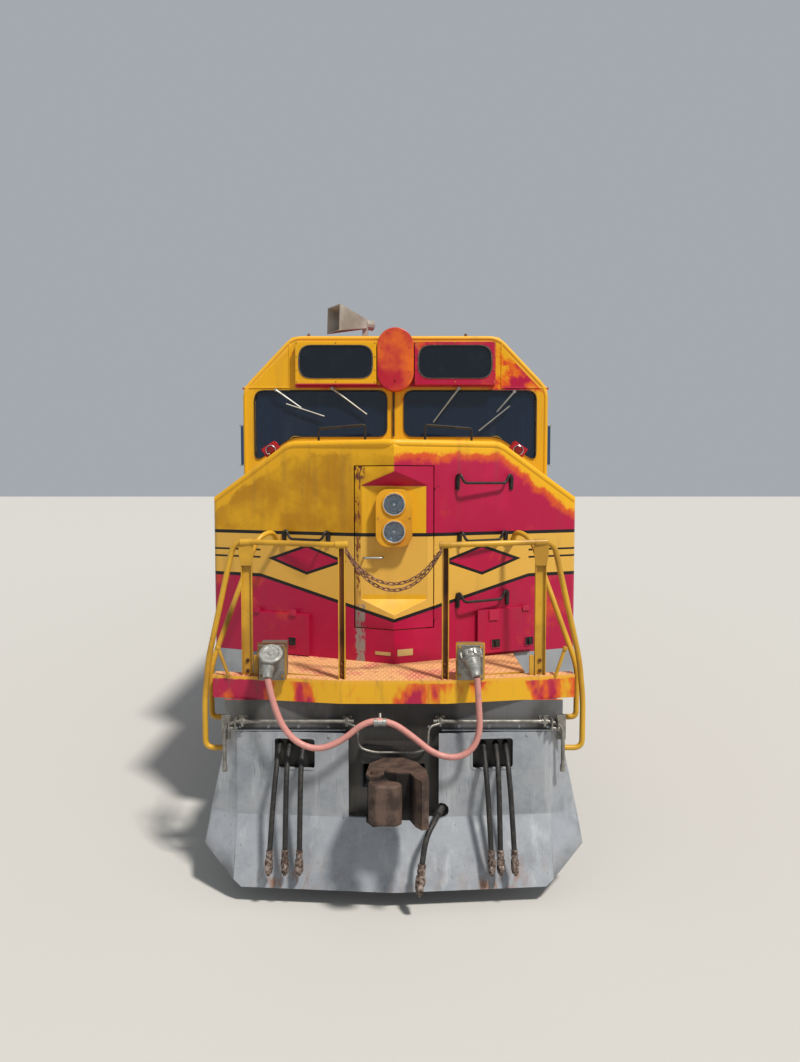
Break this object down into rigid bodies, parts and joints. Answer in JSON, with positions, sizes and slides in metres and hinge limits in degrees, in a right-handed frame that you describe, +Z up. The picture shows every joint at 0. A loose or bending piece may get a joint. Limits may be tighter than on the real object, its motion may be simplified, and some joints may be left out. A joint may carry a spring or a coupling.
{
  "type": "diesel locomotive",
  "caption": "Full-width cowl-bodied diesel passenger locomotive with pointed nose, front platform, pilot, swivelling trucks and roof fans.",
  "frame": {"origin": "on the plane of the wheel flange tips, below the middle of the body", "axes": "-Y to the front, +X to the right seen from the front, +Z up"},
  "size_m": [3.274, 22.05, 4.8249],
  "materials": {
    "livery_paint": "faded gloss enamel in yellow and crimson",
    "silver_paint": "weathered silver-grey paint",
    "yellow_paint": "worn yellow enamel",
    "red_paint": "faded red enamel",
    "dark_steel": "grimy black steel",
    "rusty_casting": "brown rusty casting",
    "wheel_steel": "rolled steel, rusted",
    "plain_steel": "dull steel",
    "window_glass": "dark tinted glass",
    "sign_plastic": "blank dark board in a painted box",
    "horn_plastic": "weathered grey moulding",
    "pink_rubber": "faded red rubber",
    "black_rubber": "black rubber hose",
    "black_iron": "black painted iron",
    "seat_vinyl": "dark vinyl and painted steel",
    "engine_paint": "grey machinery enamel"
  },
  "bodies": {
    "locomotive": {"air_reservoirs": "dark_steel", "brake_hose": "black_rubber", "cab_fittings": "seat_vinyl", "cab_floor": "engine_paint", "cab_front_wall": "livery_paint", "cab_glass": "window_glass", "cab_roof": "livery_paint", "cab_side_walls": "livery_paint", "coupler_bodies": "rusty_casting", "coupler_knuckles": "rusty_casting", "cut_levers": "silver_paint", "engine_block": "engine_paint", "fan_shrouds": "silver_paint", "front_pilot": "silver_paint", "front_platform": "livery_paint", "fuel_tank": "dark_steel", "gate_chain": "rusty_casting", "hose_couplings": "rusty_casting", "jumper_cable": "pink_rubber", "jumper_fittings": "plain_steel", "ladders_and_grabs": "black_iron", "loudspeaker": "horn_plastic", "mu_hose_1": "black_rubber", "mu_hose_2": "black_rubber", "mu_hose_3": "black_rubber", "mu_hose_4": "black_rubber", "mu_hose_5": "black_rubber", "mu_hose_6": "black_rubber", "mu_receptacles": "plain_steel", "nose_shell": "livery_paint", "number_boards": "sign_plastic", "oval_cover": "red_paint", "platform_rails": "yellow_paint", "rear_pilot": "silver_paint", "rear_walls": "silver_paint", "roof_hatches": "silver_paint", "side_grilles": "dark_steel", "side_walls": "silver_paint", "underframe": "silver_paint"},
    "front_truck": {"front_truck_frame": "dark_steel", "front_truck_gear": "dark_steel"},
    "rear_truck": {"rear_truck_frame": "dark_steel", "rear_truck_gear": "dark_steel"},
    "nose_door_leaf": {"nose_door": "livery_paint", "headlight": "yellow_paint"},
    "left_door_leaf": {"left_side_door": "silver_paint"},
    "right_door_leaf": {"right_side_door": "silver_paint"},
    "rear_door_leaf": {"rear_door": "silver_paint"},
    "axle_1": {"wheelset_1": "wheel_steel"},
    "axle_2": {"wheelset_2": "wheel_steel"},
    "axle_3": {"wheelset_3": "wheel_steel"},
    "axle_4": {"wheelset_4": "wheel_steel"},
    "axle_5": {"wheelset_5": "wheel_steel"},
    "axle_6": {"wheelset_6": "wheel_steel"},
    "roof_fan_1": {"fan_1": "plain_steel"},
    "roof_fan_2": {"fan_2": "plain_steel"},
    "roof_fan_3": {"fan_3": "plain_steel"},
    "roof_fan_4": {"fan_4": "plain_steel"},
    "roof_fan_5": {"fan_5": "plain_steel"}
  },
  "joints": [
    {"name": "front_truck_swivel", "type": "hinge", "parent": "locomotive", "child": "front_truck", "pos_m": [0, -7.01, 1.15], "axis": [0, 0, 1], "range_deg": [-4, 4]},
    {"name": "rear_truck_swivel", "type": "hinge", "parent": "locomotive", "child": "rear_truck", "pos_m": [0, 7.01, 1.15], "axis": [0, 0, 1], "range_deg": [-4, 4]},
    {"name": "axle_1_spin", "type": "hinge", "parent": "front_truck", "child": "axle_1", "pos_m": [0, -9.137, 0.534], "axis": [1, 0, 0], "continuous": true},
    {"name": "axle_2_spin", "type": "hinge", "parent": "front_truck", "child": "axle_2", "pos_m": [0, -7.01, 0.534], "axis": [1, 0, 0], "continuous": true},
    {"name": "axle_3_spin", "type": "hinge", "parent": "front_truck", "child": "axle_3", "pos_m": [0, -4.997, 0.534], "axis": [1, 0, 0], "continuous": true},
    {"name": "axle_4_spin", "type": "hinge", "parent": "rear_truck", "child": "axle_4", "pos_m": [0, 4.997, 0.534], "axis": [1, 0, 0], "continuous": true},
    {"name": "axle_5_spin", "type": "hinge", "parent": "rear_truck", "child": "axle_5", "pos_m": [0, 7.01, 0.534], "axis": [1, 0, 0], "continuous": true},
    {"name": "axle_6_spin", "type": "hinge", "parent": "rear_truck", "child": "axle_6", "pos_m": [0, 9.137, 0.534], "axis": [1, 0, 0], "continuous": true},
    {"name": "nose_door_hinge", "type": "hinge", "parent": "locomotive", "child": "nose_door_leaf", "pos_m": [0.318, -9.75, 2.5], "axis": [0, 0, -1], "range_deg": [0, 85]},
    {"name": "right_side_door_hinge", "type": "hinge", "parent": "locomotive", "child": "right_door_leaf", "pos_m": [1.5, -5.29, 2.6], "axis": [0, 0, 1], "range_deg": [0, 90]},
    {"name": "left_side_door_hinge", "type": "hinge", "parent": "locomotive", "child": "left_door_leaf", "pos_m": [-1.5, -5.29, 2.6], "axis": [0, 0, -1], "range_deg": [0, 90]},
    {"name": "rear_door_hinge", "type": "hinge", "parent": "locomotive", "child": "rear_door_leaf", "pos_m": [0.305, 10.38, 2.6], "axis": [0, 0, 1], "range_deg": [0, 90]},
    {"name": "fan_1_spin", "type": "hinge", "parent": "locomotive", "child": "roof_fan_1", "pos_m": [0, -4.7, 4.555], "axis": [0, 0, 1], "continuous": true},
    {"name": "fan_2_spin", "type": "hinge", "parent": "locomotive", "child": "roof_fan_2", "pos_m": [0, -3.35, 4.555], "axis": [0, 0, 1], "continuous": true},
    {"name": "fan_3_spin", "type": "hinge", "parent": "locomotive", "child": "roof_fan_3", "pos_m": [0, 3.7, 4.555], "axis": [0, 0, 1], "continuous": true},
    {"name": "fan_4_spin", "type": "hinge", "parent": "locomotive", "child": "roof_fan_4", "pos_m": [0, 5.2, 4.555], "axis": [0, 0, 1], "continuous": true},
    {"name": "fan_5_spin", "type": "hinge", "parent": "locomotive", "child": "roof_fan_5", "pos_m": [0, 6.7, 4.555], "axis": [0, 0, 1], "continuous": true}
  ]
}
